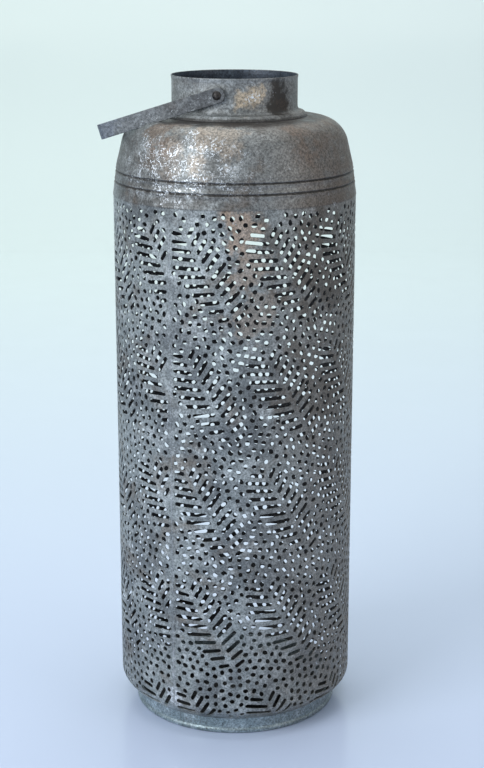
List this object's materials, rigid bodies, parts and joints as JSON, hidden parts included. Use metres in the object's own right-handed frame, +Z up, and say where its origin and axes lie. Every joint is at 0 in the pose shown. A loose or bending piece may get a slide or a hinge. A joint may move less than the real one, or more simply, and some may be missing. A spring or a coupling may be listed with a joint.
{
  "type": "candle lantern",
  "caption": "Tall round pierced-metal candle lantern for the floor, with a domed shoulder, open neck, foot ring and swinging strap bail.",
  "frame": {"origin": "centre of the underside of the bottom disc, which the lantern stands on", "axes": "+Z up along the lantern's axis; the bail's hinge runs along Y, the front rivet at -Y; at rest the bail leans over the -X side"},
  "size_m": [0.2229, 0.222, 0.6],
  "materials": {
    "body_metal": "aged zinc, mottled grey-green",
    "dome_metal": "aged zinc with brown patina and pale crackle",
    "neck_metal": "aged zinc with tan crackle",
    "foot_metal": "aged zinc, smoother",
    "strap_metal": "aged zinc strap",
    "rivet_metal": "dark iron",
    "solder": "dull pale solder",
    "inner_metal": "dark soot-stained sheet"
  },
  "bodies": {
    "lantern": {"foot_ring": "foot_metal", "bottom_disc": "inner_metal", "drip_tray": "inner_metal", "candle_socket": "inner_metal", "body_shell": "body_metal", "seam_solder": "solder", "shoulder_dome": "dome_metal", "neck_collar": "neck_metal", "hinge_spacers": "rivet_metal", "hinge_rivets": "rivet_metal"},
    "bail": {"bail_handle": "strap_metal"}
  },
  "joints": [
    {"name": "bail_swing", "type": "hinge", "parent": "lantern", "child": "bail", "pos_m": [0, 0, 0.5859], "axis": [0, 1, 0], "range_deg": [0, 215.5]}
  ]
}
